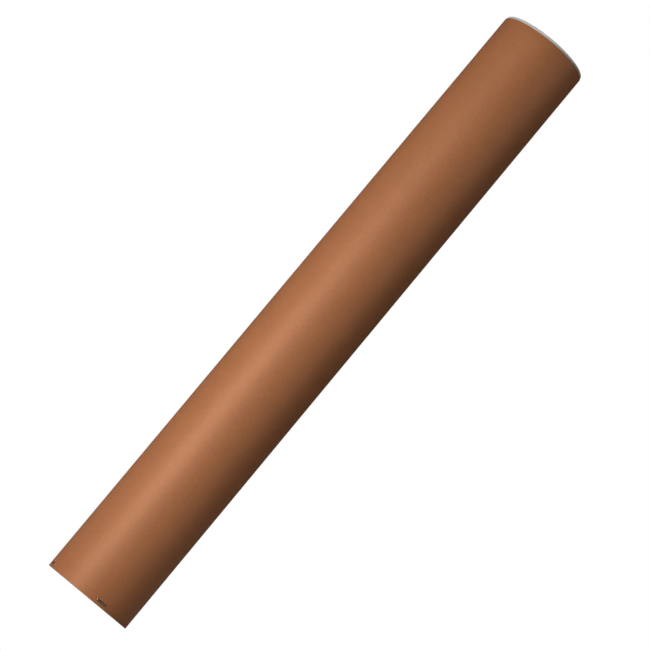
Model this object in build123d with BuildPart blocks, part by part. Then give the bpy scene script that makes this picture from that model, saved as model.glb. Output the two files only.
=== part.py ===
from build123d import *

import os
from math import sqrt

# A cardboard mailing tube, standing on its stapled end with its push-in cap on top.
# Millimetres. +Z runs up the tube's axis, and the origin is the centre of the lower rim.

# Board tube: one wound wall, cut square at both ends.
TUBE_LENGTH = 615.0
TUBE_DIAMETER = 84.0
TUBE_WALL = 2.0
RIM_ROUNDING = 0.2

# Push-in cap for the upper end: a moulded cup with a flange that sits on the rim.
FLANGE_INSET = 0.6
FLANGE_THICKNESS = 2.6
FLANGE_TOP_ROUNDING = 1.0
FLANGE_UNDER_ROUNDING = 0.5
CAP_DEPTH = 20.0
CAP_WALL = 1.4
CAP_FLOOR = 1.4
CAP_CLEARANCE = 0.45

# Grip ribs round the cap's skirt: low ridges that nearly fill the bore.
RIB_COUNT = 3
RIB_PITCH = 5.0
RIB_WIDTH = 1.6
RIB_CLEARANCE = 0.1

# Stapled plug for the lower end: the same sort of cup with no flange, set inside the rim.
PLUG_INSET = 0.8
PLUG_DEPTH = 16.0
PLUG_WALL = 1.4
PLUG_FLOOR = 1.4
PLUG_CLEARANCE = 0.05

# Both mouldings have soft corners, and the stub of the moulding gate on the floor.
CUP_ROUNDING = 1.2
LIP_ROUNDING = 0.5
GATE_DIAMETER = 3.0
GATE_HEIGHT = 0.4

# Staples: flat wire, driven through the wall and the plug and bent over inside.
STAPLE_COUNT = 4
STAPLE_FIRST_ANGLE = 17.5
STAPLE_HEIGHT = 4.0
STAPLE_CROWN = 10.6
STAPLE_LEG = STAPLE_CROWN / 1.325
WIRE_WIDTH = 1.25
WIRE_THICKNESS = 0.5
WIRE_BEND_RADIUS = 0.45
CROWN_PROUD = 0.2
CLINCH_GAP = 0.1

tube_radius = TUBE_DIAMETER / 2
bore_radius = tube_radius - TUBE_WALL

cap_radius = bore_radius - CAP_CLEARANCE
cap_bottom = TUBE_LENGTH - CAP_DEPTH
cap_floor_top = cap_bottom + CAP_FLOOR
cap_top = TUBE_LENGTH + FLANGE_THICKNESS
flange_radius = tube_radius - FLANGE_INSET

plug_radius = bore_radius - PLUG_CLEARANCE
plug_top = PLUG_INSET + PLUG_DEPTH
plug_floor_bottom = plug_top - PLUG_FLOOR


def chord_height(radius, half_width):
    """Distance from the axis to a chord of the given half width in a circle of this radius."""
    return sqrt(radius**2 - half_width**2)


def staple_points():
    """Corners of one staple's wire, in a plane whose Y runs outwards from the tube's axis.

    The straight crown is pressed into the round board, so that only its ends stand proud.
    Each leg goes straight in, and what is left of it past the plug's wall is bent inwards.
    """
    crown_y = chord_height(tube_radius + CROWN_PROUD, STAPLE_CROWN / 2) - WIRE_THICKNESS / 2
    leg_x = STAPLE_CROWN / 2 - WIRE_THICKNESS / 2
    wall_inside = plug_radius - PLUG_WALL
    off_wall = WIRE_THICKNESS / 2 + CLINCH_GAP
    bend_y = chord_height(wall_inside, STAPLE_CROWN / 2) - off_wall
    tip_x = leg_x - (STAPLE_LEG - (crown_y - bend_y))
    tip_y = chord_height(wall_inside, tip_x) - off_wall
    right = [(leg_x, crown_y), (leg_x, bend_y), (tip_x, tip_y)]
    left = [(-x, y) for x, y in reversed(right)]
    return left + right


def rib_points():
    """Corners of the grip ribs on the cap's skirt, from the lowest rib up."""
    points = []
    for rib in range(RIB_COUNT, 0, -1):
        middle = TUBE_LENGTH - RIB_PITCH * rib
        points.append((cap_radius, middle - RIB_WIDTH / 2))
        points.append((bore_radius - RIB_CLEARANCE, middle))
        points.append((cap_radius, middle + RIB_WIDTH / 2))
    return points


def circles_at(part, height):
    """The round edges of a turned part at one height, from the smallest to the largest."""
    circles = part.edges().filter_by(GeomType.CIRCLE)
    return circles.filter_by_position(Axis.Z, height, height).sort_by(SortBy.RADIUS)


# Staples: the wire's section swept along its bent path, spaced evenly round the tube.
staples = []
for number in range(STAPLE_COUNT):
    angle = STAPLE_FIRST_ANGLE + number * 360 / STAPLE_COUNT
    level = Plane.XY.offset(STAPLE_HEIGHT).rotated((0, 0, angle - 90))
    with BuildPart() as staple:
        with BuildLine(level) as wire:
            FilletPolyline(*staple_points(), radius=WIRE_BEND_RADIUS)
        with BuildSketch(Plane(origin=wire.line @ 0, x_dir=(0, 0, 1), z_dir=wire.line % 0)):
            Rectangle(WIRE_WIDTH, WIRE_THICKNESS)
        sweep()
    staple.part.label = f"staple_{number + 1}"
    staples.append(staple.part)

# Tube: the wall's section turned about the axis, with the holes that the staples make.
with BuildPart() as tube:
    with BuildSketch(Plane.XZ) as wall_section:
        with Locations((bore_radius, 0)):
            Rectangle(TUBE_WALL, TUBE_LENGTH, align=(Align.MIN, Align.MIN))
        fillet(wall_section.vertices(), RIM_ROUNDING)
    revolve(axis=Axis.Z)
    add(staples, mode=Mode.SUBTRACT)
tube.part.label = "tube"

# End cap: a cup that opens upwards, with its flange on the tube's upper rim.
with BuildPart() as end_cap:
    with BuildSketch(Plane.XZ):
        with BuildLine():
            Polyline(
                (0, cap_bottom),
                (cap_radius, cap_bottom),
                *rib_points(),
                (cap_radius, TUBE_LENGTH),
                (flange_radius, TUBE_LENGTH),
                (flange_radius, cap_top),
                (cap_radius - CAP_WALL, cap_top),
                (cap_radius - CAP_WALL, cap_floor_top),
                (0, cap_floor_top),
                close=True,
            )
        make_face()
    revolve(axis=Axis.Z)
    fillet(circles_at(end_cap, cap_bottom), CUP_ROUNDING)
    fillet(circles_at(end_cap, cap_floor_top), CUP_ROUNDING)
    fillet(circles_at(end_cap, cap_top)[0], LIP_ROUNDING)
    fillet(circles_at(end_cap, cap_top)[-1], FLANGE_TOP_ROUNDING)
    fillet(circles_at(end_cap, TUBE_LENGTH)[-1], FLANGE_UNDER_ROUNDING)
    with BuildSketch(Plane.XY.offset(cap_floor_top)):
        Circle(GATE_DIAMETER / 2)
    extrude(amount=GATE_HEIGHT)
end_cap.part.label = "end_cap"

# Bottom plug: a cup that opens downwards, just inside the lower rim, held by the staples.
with BuildPart() as bottom_plug:
    with BuildSketch(Plane.XZ):
        with BuildLine():
            Polyline(
                (0, plug_top),
                (plug_radius, plug_top),
                (plug_radius, PLUG_INSET),
                (plug_radius - PLUG_WALL, PLUG_INSET),
                (plug_radius - PLUG_WALL, plug_floor_bottom),
                (0, plug_floor_bottom),
                close=True,
            )
        make_face()
    revolve(axis=Axis.Z)
    fillet(circles_at(bottom_plug, plug_top), CUP_ROUNDING)
    fillet(circles_at(bottom_plug, plug_floor_bottom), CUP_ROUNDING)
    fillet(circles_at(bottom_plug, PLUG_INSET), LIP_ROUNDING)
    with BuildSketch(Plane.XY.offset(plug_floor_bottom)):
        Circle(GATE_DIAMETER / 2)
    extrude(amount=-GATE_HEIGHT)
    add(staples, mode=Mode.SUBTRACT)
bottom_plug.part.label = "bottom_plug"

os.makedirs("parts", exist_ok=True)
for piece in [tube.part, end_cap.part, bottom_plug.part, *staples]:
    export_step(piece, f"parts/{piece.label}.step")
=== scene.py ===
import math

import bpy
import numpy as np
from bpy.props import FloatProperty, FloatVectorProperty, IntProperty, PointerProperty
from mathutils import Matrix, Vector


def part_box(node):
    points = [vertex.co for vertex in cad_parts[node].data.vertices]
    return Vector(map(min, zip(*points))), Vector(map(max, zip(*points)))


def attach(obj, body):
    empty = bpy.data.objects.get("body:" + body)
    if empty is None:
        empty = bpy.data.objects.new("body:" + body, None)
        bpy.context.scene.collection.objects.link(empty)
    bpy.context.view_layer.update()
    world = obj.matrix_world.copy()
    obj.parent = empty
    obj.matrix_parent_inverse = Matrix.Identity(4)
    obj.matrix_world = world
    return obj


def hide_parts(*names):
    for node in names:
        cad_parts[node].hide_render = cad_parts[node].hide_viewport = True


bl_info = {
    "name": "Mailing tube",
    "version": (1, 0, 0),
    "blender": (4, 5, 0),
    "location": "3D View > Sidebar > Mailing Tube",
    "description": "Makes a capped mailing tube from wound board, two mouldings and staples",
    "category": "Add Mesh",
}

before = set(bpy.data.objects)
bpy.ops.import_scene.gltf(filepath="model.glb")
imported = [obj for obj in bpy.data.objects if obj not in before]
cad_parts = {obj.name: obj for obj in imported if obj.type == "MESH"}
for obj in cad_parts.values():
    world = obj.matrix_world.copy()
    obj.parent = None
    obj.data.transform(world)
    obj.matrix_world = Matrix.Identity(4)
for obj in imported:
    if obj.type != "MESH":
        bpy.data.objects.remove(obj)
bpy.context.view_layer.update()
TUBE_LOW, TUBE_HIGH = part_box("tube")
CAP_LOW, CAP_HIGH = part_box("end_cap")
PLUG_LOW, PLUG_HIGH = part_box("bottom_plug")
STAPLE_NODES = sorted(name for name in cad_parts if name.startswith("staple_"))

MM = 0.001
TUBE_RADIUS = TUBE_HIGH.x
TUBE_LENGTH = TUBE_HIGH.z
SAME_PLACE = 1e-6        # points nearer than this, in metres, count as one
WHITE = (1.0, 1.0, 1.0, 1.0)


# Settings


def length(name, description, millimetres):
    """A length that a user can change. Its default is given in millimetres."""
    return FloatProperty(
        name=name,
        description=description,
        default=millimetres * MM,
        min=0.0,
        precision=5,
        unit="LENGTH",
    )


def share(name, description, default):
    """A number from 0 to 1."""
    return FloatProperty(
        name=name, description=description, default=default, min=0.0, max=1.0, subtype="FACTOR"
    )


def turn(name, description, degrees):
    """An angle that a user can change. Its default is given in degrees."""
    return FloatProperty(
        name=name, description=description, default=math.radians(degrees), subtype="ANGLE"
    )


def colour(name, description, default):
    """A linear colour."""
    return FloatVectorProperty(
        name=name,
        description=description,
        default=default,
        size=3,
        min=0.0,
        max=1.0,
        subtype="COLOR",
    )


class BoardSettings(bpy.types.PropertyGroup):
    """The wound board of the tube."""

    wall: length("Wall", "Thickness of the wound board", 2.0)
    rim_rounding: length("Rim rounding", "Radius of the rubbed corners of the cut ends", 0.2)
    ply: length("Ply", "Thickness of one ply of the board", 0.33)
    wave: length("Wave", "How far the wall strays from a true circle", 0.03)
    dent_reach: length("Dent reach", "How far the board is pressed in round a staple", 0.9)
    pucker: length("Pucker", "How far the board swells beside a staple", 0.05)
    face: colour("Face", "Smooth brown outer ply", (0.46, 0.176, 0.073))
    liner: colour("Liner", "Duller ply inside the bore", (0.40, 0.20, 0.10))
    core: colour("Core", "Grey-brown plies seen on the cut ends", (0.30, 0.16, 0.085))
    fluff: colour("Fluff", "Paler fibres rubbed up along the cut ends", (0.56, 0.31, 0.17))
    # Dark colour round the staples: partly crushed board, partly painted shade in the dents
    pressed_board_and_shade: colour("Bruise", "Crushed board round the staples", (0.13, 0.06, 0.035))
    sheen: colour("Sheen", "Tint of the gloss on the outer ply", (1.0, 0.55, 0.34))
    roughness: share("Roughness", "Gloss of the outer ply, from polished to matt", 0.53)


class MouldingSettings(bpy.types.PropertyGroup):
    """The plastic cap and plug."""

    wall: length("Wall", "Thickness of the skirt", 1.4)
    floor: length("Floor", "Thickness of the floor", 1.4)
    flange: length("Flange", "Thickness of the cap's flange", 2.6)
    skirt_gap: length("Skirt gap", "Room between the cap's skirt and the bore", 0.45)
    rib_gap: length("Rib gap", "Room between the cap's ribs and the bore", 0.1)
    rib_pitch: length("Rib pitch", "Distance from one grip rib to the next", 5.0)
    rib_width: length("Rib width", "Width of a grip rib at its foot", 1.6)
    rib_count: IntProperty(name="Ribs", description="Number of grip ribs", default=3, min=1)
    corner: length("Corner", "Radius of the cup's corners", 1.2)
    lip: length("Lip", "Radius of the lips", 0.5)
    flange_edge: length("Flange edge", "Radius of the flange's upper edge", 1.0)
    gate: length("Gate", "Width of the stub that the moulding gate leaves", 3.0)
    gate_height: length("Gate height", "Height of the gate's stub", 0.4)
    plastic: colour("Plastic", "White polyethylene", (0.80, 0.80, 0.78))
    grime: colour("Grime", "Grey rubbed into the flange's edge", (0.62, 0.58, 0.52))
    roughness: share("Roughness", "Gloss of the plastic, from polished to matt", 0.42)


class StapleSettings(bpy.types.PropertyGroup):
    """The flat wire staples."""

    thickness: length("Thickness", "Thickness of the flat wire", 0.5)
    crown: length("Crown", "Width of the staple across its back", 10.6)
    leg: length("Leg", "Length of each leg before it is bent over", 8.0)
    bend: length("Bend", "Radius of the bends along the wire's middle", 0.45)
    proud: length("Proud", "How far the crown's ends stand out of the board", 0.2)
    clinch_gap: length("Clinch gap", "Room between the bent legs and the plug's wall", 0.1)
    edge: length("Edge", "Radius of the wire's edges", 0.12)
    point: length("Point", "Length of the chisel points", 0.9)
    blunt: share("Blunt", "Thickness that is left at a point's tip", 0.25)
    steel: colour("Steel", "Dull galvanised steel", (0.36, 0.33, 0.30))
    roughness: share("Roughness", "Gloss of the wire, from polished to matt", 0.38)


class StageSettings(bpy.types.PropertyGroup):
    """The floor, the lights and the camera."""

    floor: colour("Floor", "Pale floor", (0.86, 0.86, 0.85))
    floor_radius: length("Floor radius", "How far the floor reaches", 1200.0)
    key: FloatProperty(
        name="Key light", description="Power of the main soft light", default=10.0, unit="POWER"
    )
    fill: FloatProperty(
        name="Fill light", description="Power of the weak light opposite", default=1.0, unit="POWER"
    )
    top: FloatProperty(
        name="Top light", description="Power of the soft light overhead", default=13.0, unit="POWER"
    )
    ambient: FloatProperty(
        name="Ambient", description="Strength of the light from all round", default=0.02, min=0.0
    )
    distance: length("Distance", "From the camera to the tube's axis", 2376.0)
    height: length("Height", "Height of the camera above the floor", 0.0)
    lens: FloatProperty(
        name="Lens", description="Focal length in millimetres", default=154.7, min=1.0
    )
    sensor: FloatProperty(
        name="Sensor", description="Width of the sensor in millimetres", default=36.0, min=1.0
    )
    pan: turn("Pan", "Turn of the camera's line of sight to the right of the axis", 0.184)
    tilt: turn("Tilt", "Rise of the camera's line of sight", 7.37)
    roll: turn("Roll", "Turn of the camera about its line of sight", 39.766)


class MailingTubeSettings(bpy.types.PropertyGroup):
    """All the settings of the mailing tube."""

    board: PointerProperty(type=BoardSettings, name="Board", description="Wound board tube")
    moulding: PointerProperty(type=MouldingSettings, name="Moulding", description="Cap and plug")
    staple: PointerProperty(type=StapleSettings, name="Staple", description="Wire staples")
    stage: PointerProperty(type=StageSettings, name="Stage", description="Floor, light, camera")


# Outlines: arrays of (radius, height) or (across, along) points


def rounded(corners, radii, steps=7):
    """Rounds the corners of a closed outline.

    At a corner where the outline turns by the angle a, an arc of radius r leaves the first side
    r * tan(a / 2) before the corner. Its centre is r to the side of that point, and the arc's
    points are the spoke from the centre to that point, turned by equal shares of a.
    """
    corners = np.asarray(corners, float)
    radii = np.asarray(radii, float)[:, None]
    before = corners - np.roll(corners, 1, axis=0)
    after = np.roll(corners, -1, axis=0) - corners
    before /= np.linalg.norm(before, axis=1, keepdims=True)
    after /= np.linalg.norm(after, axis=1, keepdims=True)
    cross = before[:, :1] * after[:, 1:] - before[:, 1:] * after[:, :1]
    turn = np.arctan2(cross, (before * after).sum(axis=1, keepdims=True))
    side = np.sign(turn) * np.stack([-before[:, 1], before[:, 0]], axis=1)
    start = corners - before * radii * np.tan(np.abs(turn) / 2)
    centre = start + side * radii
    spoke = (start - centre)[:, None, :]
    angle = turn * np.linspace(0, 1, steps)
    across = np.stack([-spoke[..., 1], spoke[..., 0]], axis=-1)
    swung = spoke * np.cos(angle)[..., None] + across * np.sin(angle)[..., None]
    points = (centre[:, None, :] + swung).reshape(-1, 2)
    gap = np.linalg.norm(points - np.roll(points, 1, axis=0), axis=1)
    return points[gap > 0.1 * SAME_PLACE]


def subdivided(points, spacing):
    """Cuts each run between two points into equal parts no longer than spacing."""
    runs = np.diff(points, axis=0)
    count = np.ceil(np.linalg.norm(runs, axis=1) / spacing).astype(int).clip(1)
    first = np.cumsum(count) - count
    run = np.repeat(np.arange(len(runs)), count)
    part = (np.arange(count.sum()) - first[run]) / count[run]
    return np.vstack([points[run] + runs[run] * part[:, None], points[-1:]])


def fall(distance, reach):
    """1 at distance 0 and below, easing to 0 at reach and beyond, with no kink at either end."""
    t = np.clip(distance / reach, 0, 1)
    return 1 - t * t * (3 - 2 * t)


# Meshes: grids of points made into closed surfaces


def closed_surface(name, rings, first_point=None, last_point=None):
    """A closed mesh over rings of points, an array of (rings, points round, 3).

    Neighbouring rings are joined by four-sided faces. With a first and last point the two end
    rings are closed by triangles that meet there, and without them the last ring joins the first.
    The sum of each face's corner triple products is six times the volume, and its sign tells
    whether the faces point outwards.
    """
    rows, columns = rings.shape[:2]
    index = np.arange(rows * columns).reshape(rows, columns)
    beside = np.roll(index, -1, axis=1)
    points = rings.reshape(-1, 3)
    open_ended = first_point is not None
    lower = slice(0, rows - 1) if open_ended else slice(0, rows)
    above, above_beside = np.roll(index, -1, axis=0), np.roll(beside, -1, axis=0)
    quads = np.stack([index, beside, above_beside, above], axis=-1)[lower].reshape(-1, 4)
    triangles = np.empty((0, 3), int)
    if open_ended:
        points = np.vstack([points, [first_point, last_point]])
        first = np.full(columns, rows * columns)
        start = np.stack([first, beside[0], index[0]], axis=-1)
        end = np.stack([first + 1, index[-1], beside[-1]], axis=-1)
        triangles = np.vstack([start, end])
    halves = np.vstack([quads[:, [0, 1, 2]], quads[:, [0, 2, 3]], triangles])
    a, b, c = (points[halves[:, i]] for i in range(3))
    if np.einsum("ij,ij->", a, np.cross(b, c)) < 0:
        quads = quads[:, ::-1]
        triangles = triangles[:, ::-1]
    mesh = bpy.data.meshes.new(name)
    mesh.from_pydata(points, [], quads.tolist() + triangles.tolist())
    mesh.polygons.foreach_set("use_smooth", np.ones(len(mesh.polygons), bool))
    mesh.update()
    piece = bpy.data.objects.new(name, mesh)
    bpy.context.scene.collection.objects.link(piece)
    return piece


def turned_rings(outline, count):
    """Turns an outline of (radius, height) about +Z: x = r cos(a), y = r sin(a), z = height."""
    angle = np.linspace(0, 2 * np.pi, count, endpoint=False)
    radius, height = outline[:, :1], outline[:, 1:]
    z = np.broadcast_to(height, (len(outline), count))
    return np.stack([radius * np.cos(angle), radius * np.sin(angle), z], axis=-1)


def swept_rings(path, section, thickness):
    """Carries a section along a level path.

    Each ring is the section's (across, up) points laid off from a path point: across is the
    path's direction turned a quarter turn about +Z and scaled by that point's thickness, and up
    is +Z.
    """
    along = np.gradient(path, axis=0)
    along /= np.linalg.norm(along, axis=1, keepdims=True)
    across = np.cross([0.0, 0.0, 1.0], along)
    offset = section[None, :, :1] * thickness[:, None, None] * across[:, None, :]
    return path[:, None, :] + offset + section[None, :, 1:] * np.array([0.0, 0.0, 1.0])


def finish_piece(piece, material, body, nodes):
    """Gives a piece its material, hangs it on its body and hides the model's parts that it takes
    the place of.
    """
    piece.data.materials.append(material)
    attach(piece, body)
    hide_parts(*nodes)
    return piece


# Shader nodes


def node(tree, kind, inputs=None, **attributes):
    """Adds a node. Sockets among the inputs are linked, and other values are set."""
    made = tree.nodes.new(kind)
    for name, value in attributes.items():
        setattr(made, name, value)
    for name, value in (inputs or {}).items():
        if isinstance(value, bpy.types.NodeSocket):
            tree.links.new(value, made.inputs[name])
        else:
            made.inputs[name].default_value = value
    return made


def maths(tree, operation, *values, clamp=False):
    """Adds a math node and returns its result."""
    made = node(tree, "ShaderNodeMath", dict(enumerate(values)), operation=operation)
    made.use_clamp = clamp
    return made.outputs[0]


def remap(tree, value, low, high, to_low=0.0, to_high=1.0):
    """Eases a value from one range to another, and holds it at the ends."""
    ends = {"Value": value, "From Min": low, "From Max": high, "To Min": to_low, "To Max": to_high}
    return node(tree, "ShaderNodeMapRange", ends, interpolation_type="SMOOTHSTEP").outputs["Result"]


def mixed(tree, factor, first, second, blend="MIX"):
    """Mixes two colours."""
    values = {0: factor, 6: first, 7: second}
    return node(tree, "ShaderNodeMix", values, data_type="RGBA", blend_type=blend).outputs[2]


def opaque(rgb):
    """A colour with full alpha."""
    return (*rgb, 1.0)


def shader_group(name, inputs, outputs):
    """A new shader group with named sockets. Returns it with its input and output nodes."""
    group = bpy.data.node_groups.new(name, "ShaderNodeTree")
    for label, kind, default in inputs:
        socket = group.interface.new_socket(name=label, in_out="INPUT", socket_type=kind)
        if default is not None:
            socket.default_value = default
    for label, kind in outputs:
        group.interface.new_socket(name=label, in_out="OUTPUT", socket_type=kind)
    return group, group.nodes.new("NodeGroupInput"), group.nodes.new("NodeGroupOutput")


def use_group(tree, group, inputs):
    """Places a group in a material with its own values."""
    return node(tree, "ShaderNodeGroup", inputs, node_tree=group).outputs


def tone_and_height(group, result, vector, density, amount, detail, roughness):
    """Puts out noise as a height, and as a tone: 1 plus the noise about its middle, scaled."""
    noise = node(
        group,
        "ShaderNodeTexNoise",
        {"Vector": vector, "Scale": density, "Detail": detail, "Roughness": roughness},
    ).outputs["Fac"]
    centred = maths(group, "SUBTRACT", noise, 0.5)
    swing = maths(group, "MULTIPLY", centred, amount)
    group.links.new(maths(group, "ADD", swing, 1.0), result.inputs["Tone"])
    group.links.new(noise, result.inputs["Height"])


def fibre_grain_group():
    """Long fine fibres that wind round the axis.

    The point is turned about +Z by an angle that grows with its height, which makes lines that
    were upright wind, and noise that is stretched along +Z then lies along those lines.
    """
    if "Fibre Grain" in bpy.data.node_groups:
        return bpy.data.node_groups["Fibre Grain"]
    group, given, result = shader_group(
        "Fibre Grain",
        [
            ("Vector", "NodeSocketVector", None),
            ("Twist", "NodeSocketFloat", 20.0),
            ("Density", "NodeSocketFloat", 2500.0),
            ("Stretch", "NodeSocketFloat", 0.12),
            ("Contrast", "NodeSocketFloat", 0.2),
        ],
        [("Tone", "NodeSocketFloat"), ("Height", "NodeSocketFloat")],
    )
    height = node(group, "ShaderNodeSeparateXYZ", {0: given.outputs["Vector"]}).outputs["Z"]
    angle = maths(group, "MULTIPLY", height, given.outputs["Twist"])
    wound = node(
        group,
        "ShaderNodeVectorRotate",
        {"Vector": given.outputs["Vector"], "Angle": angle},
        rotation_type="Z_AXIS",
    )
    stretch = {"X": 1.0, "Y": 1.0, "Z": given.outputs["Stretch"]}
    squeeze = node(group, "ShaderNodeCombineXYZ", stretch)
    drawn = node(
        group,
        "ShaderNodeVectorMath",
        {0: wound.outputs[0], 1: squeeze.outputs[0]},
        operation="MULTIPLY",
    )
    density = given.outputs["Density"]
    tone_and_height(group, result, drawn.outputs[0], density, given.outputs["Contrast"], 4.0, 0.6)
    return group


def cloudy_tone_group():
    """Soft uneven patches: noise about its middle, scaled by an amount and set round 1."""
    if "Cloudy Tone" in bpy.data.node_groups:
        return bpy.data.node_groups["Cloudy Tone"]
    group, given, result = shader_group(
        "Cloudy Tone",
        [
            ("Vector", "NodeSocketVector", None),
            ("Density", "NodeSocketFloat", 100.0),
            ("Amount", "NodeSocketFloat", 0.1),
        ],
        [("Tone", "NodeSocketFloat"), ("Height", "NodeSocketFloat")],
    )
    vector, density, amount = (given.outputs[name] for name in ("Vector", "Density", "Amount"))
    tone_and_height(group, result, vector, density, amount, 5.0, 0.62)
    return group


def edge_wear_group():
    """Broken wear near an edge: 1 on the edge, gone at the reach, and torn by noise between."""
    if "Edge Wear" in bpy.data.node_groups:
        return bpy.data.node_groups["Edge Wear"]
    group, given, result = shader_group(
        "Edge Wear",
        [
            ("Vector", "NodeSocketVector", None),
            ("Distance", "NodeSocketFloat", 0.0),
            ("Reach", "NodeSocketFloat", 0.001),
            ("Density", "NodeSocketFloat", 900.0),
        ],
        [("Mask", "NodeSocketFloat")],
    )
    noise = node(
        group,
        "ShaderNodeTexNoise",
        {"Vector": given.outputs["Vector"], "Scale": given.outputs["Density"], "Detail": 3.0},
    ).outputs["Fac"]
    near = maths(group, "DIVIDE", given.outputs["Distance"], given.outputs["Reach"])
    torn = maths(group, "ADD", near, maths(group, "SUBTRACT", noise, 0.5))
    group.links.new(remap(group, torn, 0.15, 0.75, 1.0, 0.0), result.inputs["Mask"])
    return group


def new_material(name):
    """A material with an empty node tree, its principled shader and its object coordinates."""
    material = bpy.data.materials.new(name)
    material.use_nodes = True
    tree = material.node_tree
    tree.nodes.clear()
    shader = tree.nodes.new("ShaderNodeBsdfPrincipled")
    output = tree.nodes.new("ShaderNodeOutputMaterial")
    tree.links.new(shader.outputs[0], output.inputs[0])
    place = tree.nodes.new("ShaderNodeTexCoord").outputs["Object"]
    return material, tree, shader, place


def bump(tree, shader, height, strength, distance):
    """Roughens the shading by a height."""
    made = node(
        tree,
        "ShaderNodeBump",
        {"Strength": strength, "Distance": distance, "Height": height},
    )
    tree.links.new(made.outputs[0], shader.inputs["Normal"])


def uneven(tree, middle, noise, swing):
    """A value that strays about its middle by half the swing each way."""
    return maths(tree, "ADD", maths(tree, "MULTIPLY", noise, swing), middle - swing / 2)


def axis_distance(tree, place):
    """The height of a point and its distance from the Z axis."""
    parts = node(tree, "ShaderNodeSeparateXYZ", {0: place}).outputs
    squares = [maths(tree, "MULTIPLY", parts[i], parts[i]) for i in (0, 1)]
    return parts[2], maths(tree, "SQRT", maths(tree, "ADD", *squares))


def kraft_board(board):
    """Brown wound board: a smooth fibrous face, a duller liner, and bare plies on the cut ends."""
    material, tree, shader, place = new_material("Kraft board")
    height, radius = axis_distance(tree, place)
    grain = use_group(
        tree,
        fibre_grain_group(),
        {"Vector": place, "Twist": 9.0, "Density": 1500.0, "Stretch": 0.22, "Contrast": 0.42},
    )
    cloud = use_group(
        tree, cloudy_tone_group(), {"Vector": place, "Density": 260.0, "Amount": 0.22}
    )
    broad = use_group(
        tree, cloudy_tone_group(), {"Vector": place, "Density": 38.0, "Amount": 0.12}
    )
    tone = maths(tree, "MULTIPLY", grain["Tone"], cloud["Tone"])
    tone = maths(tree, "MULTIPLY", tone, broad["Tone"])

    bore_radius = TUBE_RADIUS - board.wall
    liner_ends = bore_radius + 0.05 * board.wall, bore_radius + 0.08 * board.wall
    inside = remap(tree, radius, *liner_ends, 1.0, 0.0)
    skin = mixed(tree, inside, opaque(board.face), opaque(board.liner))

    # Dark glue lines between the plies, on the cut ends alone
    into_wall = maths(tree, "SUBTRACT", radius, bore_radius)
    to_glue = maths(tree, "PINGPONG", into_wall, board.ply / 2)
    glue = remap(tree, to_glue, 0.0, board.ply * 0.16, 0.72, 1.0)
    from_top = maths(tree, "SUBTRACT", TUBE_LENGTH, height)
    to_end = maths(tree, "MINIMUM", height, from_top)
    on_rim = remap(tree, to_end, board.rim_rounding * 0.3, board.rim_rounding, 1.0, 0.0)
    core = mixed(tree, 1.0, opaque(board.core), glue, "MULTIPLY")
    base = mixed(tree, on_rim, skin, core)

    wear = use_group(
        tree,
        edge_wear_group(),
        {"Vector": place, "Distance": to_end, "Reach": 0.9 * MM, "Density": 700.0},
    )["Mask"]
    worn = mixed(tree, maths(tree, "MULTIPLY", wear, 0.35), base, opaque(board.fluff))
    # Darkening round the staples: partly crushed board, partly painted shade in the dents
    pressed_and_shade_mask = node(tree, "ShaderNodeAttribute", attribute_name="press_and_shade").outputs["Fac"]
    pressed_and_shaded = mixed(tree, maths(tree, "MULTIPLY", pressed_and_shade_mask, 0.75), worn, opaque(board.pressed_board_and_shade))
    painted = mixed(tree, 1.0, pressed_and_shaded, tone, "MULTIPLY")
    tree.links.new(painted, shader.inputs["Base Color"])

    shader.inputs["Specular IOR Level"].default_value = 1.0
    shader.inputs["Specular Tint"].default_value = opaque(board.sheen)
    rough = uneven(tree, board.roughness, grain["Height"], 0.22)
    rough = maths(tree, "ADD", rough, maths(tree, "MULTIPLY", on_rim, 0.4), clamp=True)
    tree.links.new(rough, shader.inputs["Roughness"])
    relief = maths(tree, "ADD", grain["Height"], cloud["Height"])
    bump(tree, shader, relief, 0.35, 0.05 * MM)
    return material


def white_polyethylene(moulding):
    """White moulded plastic: faintly clouded, with a satin mould finish and rubbed edges."""
    material, tree, shader, place = new_material("White polyethylene")
    radius = axis_distance(tree, place)[1]
    cloud = use_group(
        tree, cloudy_tone_group(), {"Vector": place, "Density": 90.0, "Amount": 0.05}
    )
    pit = use_group(
        tree, cloudy_tone_group(), {"Vector": place, "Density": 2600.0, "Amount": 0.04}
    )
    tone = maths(tree, "MULTIPLY", cloud["Tone"], pit["Tone"])
    from_edge = maths(tree, "ABSOLUTE", maths(tree, "SUBTRACT", radius, CAP_HIGH.x))
    wear = use_group(
        tree,
        edge_wear_group(),
        {"Vector": place, "Distance": from_edge, "Reach": 0.6 * MM, "Density": 420.0},
    )["Mask"]
    rub = maths(tree, "MULTIPLY", wear, 0.3)
    rubbed = mixed(tree, rub, opaque(moulding.plastic), opaque(moulding.grime))
    tree.links.new(mixed(tree, 1.0, rubbed, tone, "MULTIPLY"), shader.inputs["Base Color"])
    rough = uneven(tree, moulding.roughness, pit["Height"], 0.16)
    tree.links.new(rough, shader.inputs["Roughness"])
    shader.inputs["Subsurface Weight"].default_value = 0.12
    shader.inputs["Subsurface Scale"].default_value = 0.0015
    bump(tree, shader, pit["Height"], 0.2, 0.03 * MM)
    return material


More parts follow.
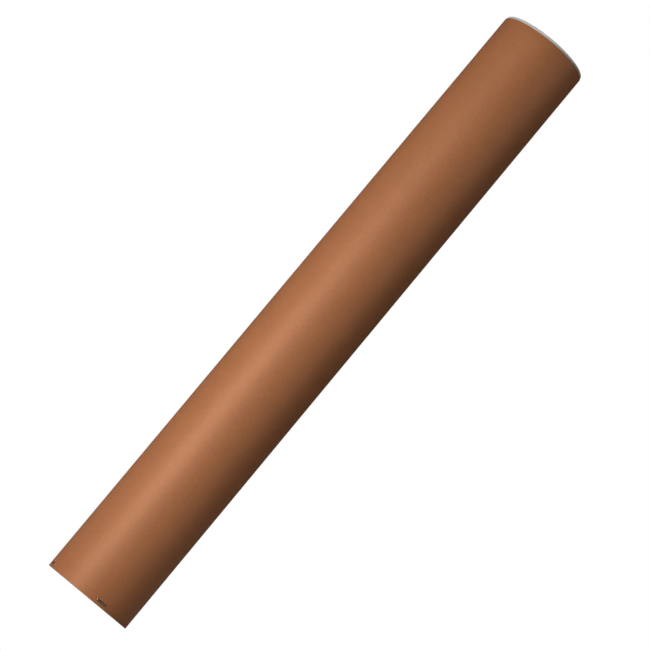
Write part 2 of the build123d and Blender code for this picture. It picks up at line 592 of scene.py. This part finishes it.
def staple_steel(staple):
    """Dull galvanised wire with the fine lines of drawing and a cloudy zinc bloom."""
    material, tree, shader, place = new_material("Staple steel")
    grain = use_group(
        tree,
        fibre_grain_group(),
        {"Vector": place, "Twist": 0.0, "Density": 5200.0, "Stretch": 5.0, "Contrast": 0.35},
    )
    bloom = use_group(
        tree, cloudy_tone_group(), {"Vector": place, "Density": 1300.0, "Amount": 0.3}
    )
    tone = maths(tree, "MULTIPLY", grain["Tone"], bloom["Tone"])
    steel = mixed(tree, 1.0, opaque(staple.steel), tone, "MULTIPLY")
    tree.links.new(steel, shader.inputs["Base Color"])
    shader.inputs["Metallic"].default_value = 1.0
    rough = uneven(tree, staple.roughness, bloom["Height"], 0.2)
    tree.links.new(rough, shader.inputs["Roughness"])
    bump(tree, shader, grain["Height"], 0.25, 0.02 * MM)
    return material


# Pieces


def chord_height(radius, half_width):
    """Distance from the axis to a chord of the given half width."""
    return math.sqrt(radius**2 - half_width**2)


def crown_height(staple):
    """Distance from the tube's axis to the middle of a staple's crown wire."""
    outside = chord_height(TUBE_RADIUS + staple.proud, staple.crown / 2)
    return outside - staple.thickness / 2


def staple_places():
    """Each staple's angle about the axis, its middle height and its wire's width."""
    boxes = [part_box(name) for name in STAPLE_NODES]
    return [
        (math.atan2(low.y + high.y, low.x + high.x), (low.z + high.z) / 2, high.z - low.z)
        for low, high in boxes
    ]


def staple_press(angle, height, board, staple):
    """How far the staples move the outer face, and how dark it is made round them, over a grid.

    Under a crown the face drops to the plane of the wire's inner side, which is at the distance
    c / cos(a) from the axis at the angle a from the staple's middle. Round the wire's outline
    that drop eases away over the dent's reach, and past it the board swells a little. The
    darkening round the wire is partly crushed board and partly painted shade in the dents.
    """
    shift = np.zeros(np.broadcast(angle, height).shape)
    press_and_shade = np.zeros_like(shift)
    plane = crown_height(staple) - staple.thickness / 2
    for middle, level, width in staple_places():
        turned = (angle - middle + np.pi) % (2 * np.pi) - np.pi
        near = np.abs(turned) < 0.5
        turned = np.where(near, turned, 0.5)
        past_end = np.abs(TUBE_RADIUS * turned) - staple.crown / 2
        past_side = np.abs(height - level) - width / 2
        outside = np.hypot(np.maximum(past_end, 0), np.maximum(past_side, 0))
        drop = TUBE_RADIUS - plane / np.cos(turned)
        pressed = fall(outside, board.dent_reach)
        swell = fall(np.abs(outside - 1.5 * board.dent_reach), board.dent_reach)
        shift += np.where(near, board.pucker * swell - np.maximum(drop, 0) * pressed, 0.0)
        # Darkening round the wire: partly crushed board, partly painted shade in the dent
        press_and_shade += np.where(near, fall(outside, 0.6 * board.dent_reach), 0.0)
    return shift, press_and_shade


def wound_wave(angle, height, size):
    """The wall's slow stray from a circle: three low waves that wind up the tube."""
    return size * (
        0.5 * np.sin(2 * angle + 6 * height + 0.4)
        + 0.3 * np.sin(3 * angle - 14 * height + 2.1)
        + 0.2 * np.sin(5 * angle + 31 * height + 4.0)
    )


def make_board(settings):
    """The board tube: the wall's rounded section turned about the axis, then pressed and waved.

    The rows are close together only low on the outer face, where the staples press it.
    """
    board = settings.board
    bore = TUBE_RADIUS - board.wall
    pressed_top, fine_step, coarse_step, columns = 9 * MM, 0.26 * MM, 9.5 * MM, 420
    section = [(bore, 0), (TUBE_RADIUS, 0), (TUBE_RADIUS, TUBE_LENGTH), (bore, TUBE_LENGTH)]
    outline = rounded(section, [board.rim_rounding] * 4)
    coarse = subdivided(np.vstack([outline, outline[:1]]), coarse_step)
    low = (coarse[:, 0] > TUBE_RADIUS - SAME_PLACE) & (coarse[:, 1] < pressed_top)
    start, stop = np.flatnonzero(low)[[0, -1]]
    fine = subdivided(coarse[start : stop + 2], fine_step)
    profile = np.vstack([coarse[:start], fine, coarse[stop + 2 : -1]])

    rings = turned_rings(profile, columns)
    angle = np.arctan2(rings[..., 1], rings[..., 0])
    radius, height = np.hypot(rings[..., 0], rings[..., 1]), rings[..., 2]
    outer = fall(TUBE_RADIUS - radius, board.wall / 2)
    shift, press_and_shade = staple_press(angle, height, board, settings.staple)
    grown = 1 + (wound_wave(angle, height, board.wave) + outer * shift) / radius
    rings[..., :2] *= grown[..., None]
    piece = closed_surface("board_tube", rings)
    # Keeps the darkening round the staples for the material: partly crushed board, partly painted
    # shade
    mark = piece.data.attributes.new("press_and_shade", "FLOAT", "POINT")
    mark.data.foreach_set("value", (press_and_shade * outer).ravel().clip(0, 1).astype(np.float32))
    return finish_piece(piece, kraft_board(board), "tube_body", ["tube"])


def cup_piece(name, corners, radii, body, nodes, settings):
    """A moulded cup: an outline that starts and ends on the axis, rounded and turned."""
    outline = subdivided(rounded(corners, radii), 1.6 * MM)
    rings = turned_rings(outline[1:-1], 300)
    ends = [(0.0, 0.0, height) for height in (outline[0, 1], outline[-1, 1])]
    piece = closed_surface(name, rings, *ends)
    return finish_piece(piece, white_polyethylene(settings.moulding), body, nodes)


def gate_corners(moulding, floor, up):
    """The small stub on a cup's floor, from its foot in to the axis, and the corners' radii."""
    half = moulding.gate / 2
    top = floor + up * moulding.gate_height
    return [(half, floor), (half, top), (0, top)], [0.1 * MM, 0.15 * MM, 0.0]


def make_cap(settings):
    """The push-in cap: a cup that opens upwards, with grip ribs and a flange on the rim."""
    moulding = settings.moulding
    bore = TUBE_RADIUS - settings.board.wall
    skirt = bore - moulding.skirt_gap
    inside = skirt - moulding.wall
    floor = CAP_LOW.z + moulding.floor
    crest = bore - moulding.rib_gap
    middles = TUBE_LENGTH - moulding.rib_pitch * np.arange(moulding.rib_count, 0, -1)
    foot = moulding.rib_width / 2
    ribs = np.stack([middles - foot, middles, middles + foot], axis=1).ravel()
    reach = np.tile([skirt, crest, skirt], moulding.rib_count)
    stub, stub_radii = gate_corners(moulding, floor, 1)
    corners = [
        (0, CAP_LOW.z),
        (skirt, CAP_LOW.z),
        *zip(reach, ribs),
        (skirt, TUBE_LENGTH),
        (CAP_HIGH.x, TUBE_LENGTH),
        (CAP_HIGH.x, CAP_HIGH.z),
        (inside, CAP_HIGH.z),
        (inside, floor),
        *stub,
    ]
    radii = [0.0, moulding.corner]
    radii += [0.15 * MM, 0.3 * MM, 0.15 * MM] * moulding.rib_count
    radii += [0.05 * MM, moulding.lip, moulding.flange_edge, moulding.lip, moulding.corner]
    return cup_piece("cap_moulding", corners, radii + stub_radii, "cap_body", ["end_cap"], settings)


def make_plug(settings):
    """The stapled plug: a cup that opens downwards, just inside the lower rim."""
    moulding = settings.moulding
    skirt = PLUG_HIGH.x
    inside = skirt - moulding.wall
    floor = PLUG_HIGH.z - moulding.floor
    stub, stub_radii = gate_corners(moulding, floor, -1)
    corners = [
        (0, PLUG_HIGH.z),
        (skirt, PLUG_HIGH.z),
        (skirt, PLUG_LOW.z),
        (inside, PLUG_LOW.z),
        (inside, floor),
        *stub,
    ]
    radii = [0.0, moulding.corner, moulding.lip, moulding.lip, moulding.corner, *stub_radii]
    return cup_piece("plug_moulding", corners, radii, "tube_body", ["bottom_plug"], settings)


def staple_path(settings):
    """The middle line of a staple's wire, in a plane whose Y runs outwards from the axis.

    The crown is straight, the legs run straight in, and what is left of each leg past the
    plug's wall is bent over inwards. Every bend is an arc.
    """
    staple = settings.staple
    crown_y = crown_height(staple)
    leg_x = (staple.crown - staple.thickness) / 2
    wall_inside = PLUG_HIGH.x - settings.moulding.wall
    off_wall = staple.thickness / 2 + staple.clinch_gap
    bend_y = chord_height(wall_inside, staple.crown / 2) - off_wall
    tip_x = leg_x - (staple.leg - (crown_y - bend_y))
    tip_y = chord_height(wall_inside, tip_x) - off_wall
    right = [(leg_x, crown_y), (leg_x, bend_y), (tip_x, tip_y)]
    corners = [(-x, y) for x, y in reversed(right)] + right
    radii = [0.0, staple.bend, staple.bend, staple.bend, staple.bend, 0.0]
    return subdivided(rounded(corners, radii), 0.3 * MM)


def make_staples(settings):
    """The staples: a rounded flat section carried along the bent wire, with chisel points."""
    staple = settings.staple
    path = staple_path(settings)
    run = np.concatenate([[0], np.cumsum(np.linalg.norm(np.diff(path, axis=0), axis=1))])
    to_tip = np.minimum(run, run[-1] - run)
    thickness = staple.blunt + (1 - staple.blunt) * np.clip(to_tip / staple.point, 0, 1)
    material = staple_steel(staple)
    made = []
    for name, (middle, level, width) in zip(STAPLE_NODES, staple_places()):
        outward = np.array([math.cos(middle), math.sin(middle), 0.0])
        along = np.array([math.sin(middle), -math.cos(middle), 0.0])
        line = path[:, :1] * along + path[:, 1:] * outward + np.array([0.0, 0.0, level])
        corners = np.array([(-1, -1), (1, -1), (1, 1), (-1, 1)])
        box = corners * (staple.thickness / 2, width / 2)
        section = rounded(box, [staple.edge] * 4, steps=4)
        rings = swept_rings(line, section, thickness)
        piece = closed_surface(name.replace("staple", "wire_staple"), rings, line[0], line[-1])
        made.append(finish_piece(piece, material, "tube_body", [name]))
    return made


# Stage


def make_floor(stage):
    """A round pale floor. Its brightness eases up to that of the background towards its edge."""
    columns = 96
    outline = np.array([(stage.floor_radius, 0.0), (0.3 * stage.floor_radius, 0.0)])
    rings = turned_rings(outline, columns)
    mesh = bpy.data.meshes.new("floor")
    index = np.arange(columns)
    inner = index + columns
    quads = np.stack([index, np.roll(index, -1), np.roll(inner, -1), inner], axis=-1).tolist()
    mesh.from_pydata(rings.reshape(-1, 3), [], [*quads, inner.tolist()])
    floor = bpy.data.objects.new("floor", mesh)
    bpy.context.scene.collection.objects.link(floor)
    material, tree, shader, place = new_material("Pale floor")
    shader.inputs["Base Color"].default_value = opaque(stage.floor)
    shader.inputs["Roughness"].default_value = 0.9
    shader.inputs["Specular IOR Level"].default_value = 0.1
    radius = axis_distance(tree, place)[1]
    edge = remap(tree, radius, 0.1 * stage.floor_radius, 0.8 * stage.floor_radius)
    seen = node(tree, "ShaderNodeLightPath").outputs["Is Camera Ray"]
    glow = node(tree, "ShaderNodeEmission", {"Color": WHITE, "Strength": 1.0})
    blend = node(tree, "ShaderNodeMixShader", {0: maths(tree, "MULTIPLY", edge, seen)})
    tree.links.new(shader.outputs[0], blend.inputs[1])
    tree.links.new(glow.outputs[0], blend.inputs[2])
    output = next(n for n in tree.nodes if n.bl_idname == "ShaderNodeOutputMaterial")
    tree.links.new(blend.outputs[0], output.inputs[0])
    mesh.materials.append(material)


def make_light(name, place, target, size, power):
    """A square soft light that points at a target and isn't seen itself."""
    light = bpy.data.lights.new(name, "AREA")
    light.shape = "SQUARE"
    light.size = size
    light.energy = power
    holder = bpy.data.objects.new(name, light)
    holder.location = place
    holder.rotation_euler = (Vector(target) - Vector(place)).to_track_quat("-Z", "Y").to_euler()
    holder.visible_camera = False
    bpy.context.scene.collection.objects.link(holder)


def make_world(stage):
    """A white background over weak even light."""
    world = bpy.data.worlds.new("Studio")
    world.use_nodes = True
    tree = world.node_tree
    tree.nodes.clear()
    seen = node(tree, "ShaderNodeLightPath").outputs["Is Camera Ray"]
    around = node(tree, "ShaderNodeBackground", {"Color": WHITE, "Strength": stage.ambient})
    behind = node(tree, "ShaderNodeBackground", {"Color": WHITE, "Strength": 1.0})
    blend = node(tree, "ShaderNodeMixShader", {0: seen})
    tree.links.new(around.outputs[0], blend.inputs[1])
    tree.links.new(behind.outputs[0], blend.inputs[2])
    tree.links.new(blend.outputs[0], node(tree, "ShaderNodeOutputWorld").inputs[0])
    bpy.context.scene.world = world


def make_camera(stage):
    """The camera stands level with the lower rim, looks up at the tube's middle and is rolled."""
    data = bpy.data.cameras.new("camera")
    data.lens = stage.lens
    data.sensor_width = stage.sensor
    camera = bpy.data.objects.new("camera", data)
    bpy.context.scene.collection.objects.link(camera)
    place = Vector((0.0, -stage.distance, stage.height))
    level = math.cos(stage.tilt)
    sight = Vector((math.sin(stage.pan) * level, math.cos(stage.pan) * level, math.sin(stage.tilt)))
    facing = sight.to_track_quat("-Z", "Y").to_matrix() @ Matrix.Rotation(stage.roll, 3, "Z")
    camera.matrix_world = Matrix.Translation(place) @ facing.to_4x4()
    bpy.context.scene.camera = camera


def make_stage(settings):
    """The floor, the lights, the background and the camera.

    The key light stands low, in front and to the left, so the glow is strongest near the
    stapled end. The fill light stands high on the right, and the top light is overhead.
    """
    stage = settings.stage
    foot, middle, head = ((0.0, 0.0, part * TUBE_LENGTH) for part in (0.0, 0.5, 1.0))
    make_floor(stage)
    make_world(stage)
    make_light("key", place=(-0.62, -0.78, 0.12), target=middle, size=0.55, power=stage.key)
    make_light("fill", place=(0.9, -0.35, 0.95), target=head, size=0.6, power=stage.fill)
    make_light("top", place=(0.0, 0.5, 2.2), target=foot, size=1.4, power=stage.top)
    make_camera(stage)
    bpy.context.scene.view_settings.view_transform = "Standard"


# Add-on


class MAILTUBE_OT_board(bpy.types.Operator):
    """Add the wound board tube"""

    bl_idname = "mailtube.board"
    bl_label = "Board Tube"
    bl_options = {"REGISTER", "UNDO"}

    def execute(self, context):
        make_board(context.scene.mailing_tube)
        return {"FINISHED"}


class MAILTUBE_OT_end_cap(bpy.types.Operator):
    """Add the push-in cap at the upper end"""

    bl_idname = "mailtube.end_cap"
    bl_label = "End Cap"
    bl_options = {"REGISTER", "UNDO"}

    def execute(self, context):
        make_cap(context.scene.mailing_tube)
        return {"FINISHED"}


class MAILTUBE_OT_bottom_plug(bpy.types.Operator):
    """Add the stapled plug at the lower end"""

    bl_idname = "mailtube.bottom_plug"
    bl_label = "Bottom Plug"
    bl_options = {"REGISTER", "UNDO"}

    def execute(self, context):
        make_plug(context.scene.mailing_tube)
        return {"FINISHED"}


class MAILTUBE_OT_staples(bpy.types.Operator):
    """Add the staples that hold the plug"""

    bl_idname = "mailtube.staples"
    bl_label = "Staples"
    bl_options = {"REGISTER", "UNDO"}

    def execute(self, context):
        make_staples(context.scene.mailing_tube)
        return {"FINISHED"}


class MAILTUBE_OT_stage(bpy.types.Operator):
    """Add the floor, the lights, the background and the camera"""

    bl_idname = "mailtube.stage"
    bl_label = "Stage"
    bl_options = {"REGISTER", "UNDO"}

    def execute(self, context):
        make_stage(context.scene.mailing_tube)
        return {"FINISHED"}


class MAILTUBE_PT_parts(bpy.types.Panel):
    """Lists the pieces and their settings"""

    bl_idname = "MAILTUBE_PT_parts"
    bl_label = "Mailing Tube"
    bl_space_type = "VIEW_3D"
    bl_region_type = "UI"
    bl_category = "Mailing Tube"

    def draw(self, context):
        settings = context.scene.mailing_tube
        for title, group, operators in (
            ("Board", settings.board, (MAILTUBE_OT_board,)),
            ("Mouldings", settings.moulding, (MAILTUBE_OT_end_cap, MAILTUBE_OT_bottom_plug)),
            ("Staples", settings.staple, (MAILTUBE_OT_staples,)),
            ("Stage", settings.stage, (MAILTUBE_OT_stage,)),
        ):
            box = self.layout.box()
            box.label(text=title)
            for name in group.__annotations__:
                box.prop(group, name)
            for operator in operators:
                box.operator(operator.bl_idname)


CLASSES = (
    BoardSettings,
    MouldingSettings,
    StapleSettings,
    StageSettings,
    MailingTubeSettings,
    MAILTUBE_OT_board,
    MAILTUBE_OT_end_cap,
    MAILTUBE_OT_bottom_plug,
    MAILTUBE_OT_staples,
    MAILTUBE_OT_stage,
    MAILTUBE_PT_parts,
)


def register():
    for cls in CLASSES:
        bpy.utils.register_class(cls)
    bpy.types.Scene.mailing_tube = PointerProperty(
        type=MailingTubeSettings, name="Mailing tube", description="Settings of the mailing tube"
    )


def unregister():
    del bpy.types.Scene.mailing_tube
    for cls in reversed(CLASSES):
        bpy.utils.unregister_class(cls)


def main():
    """Makes every piece and the stage."""
    register()
    bpy.ops.mailtube.board()
    bpy.ops.mailtube.end_cap()
    bpy.ops.mailtube.bottom_plug()
    bpy.ops.mailtube.staples()
    bpy.ops.mailtube.stage()


if __name__ == "__main__":
    main()
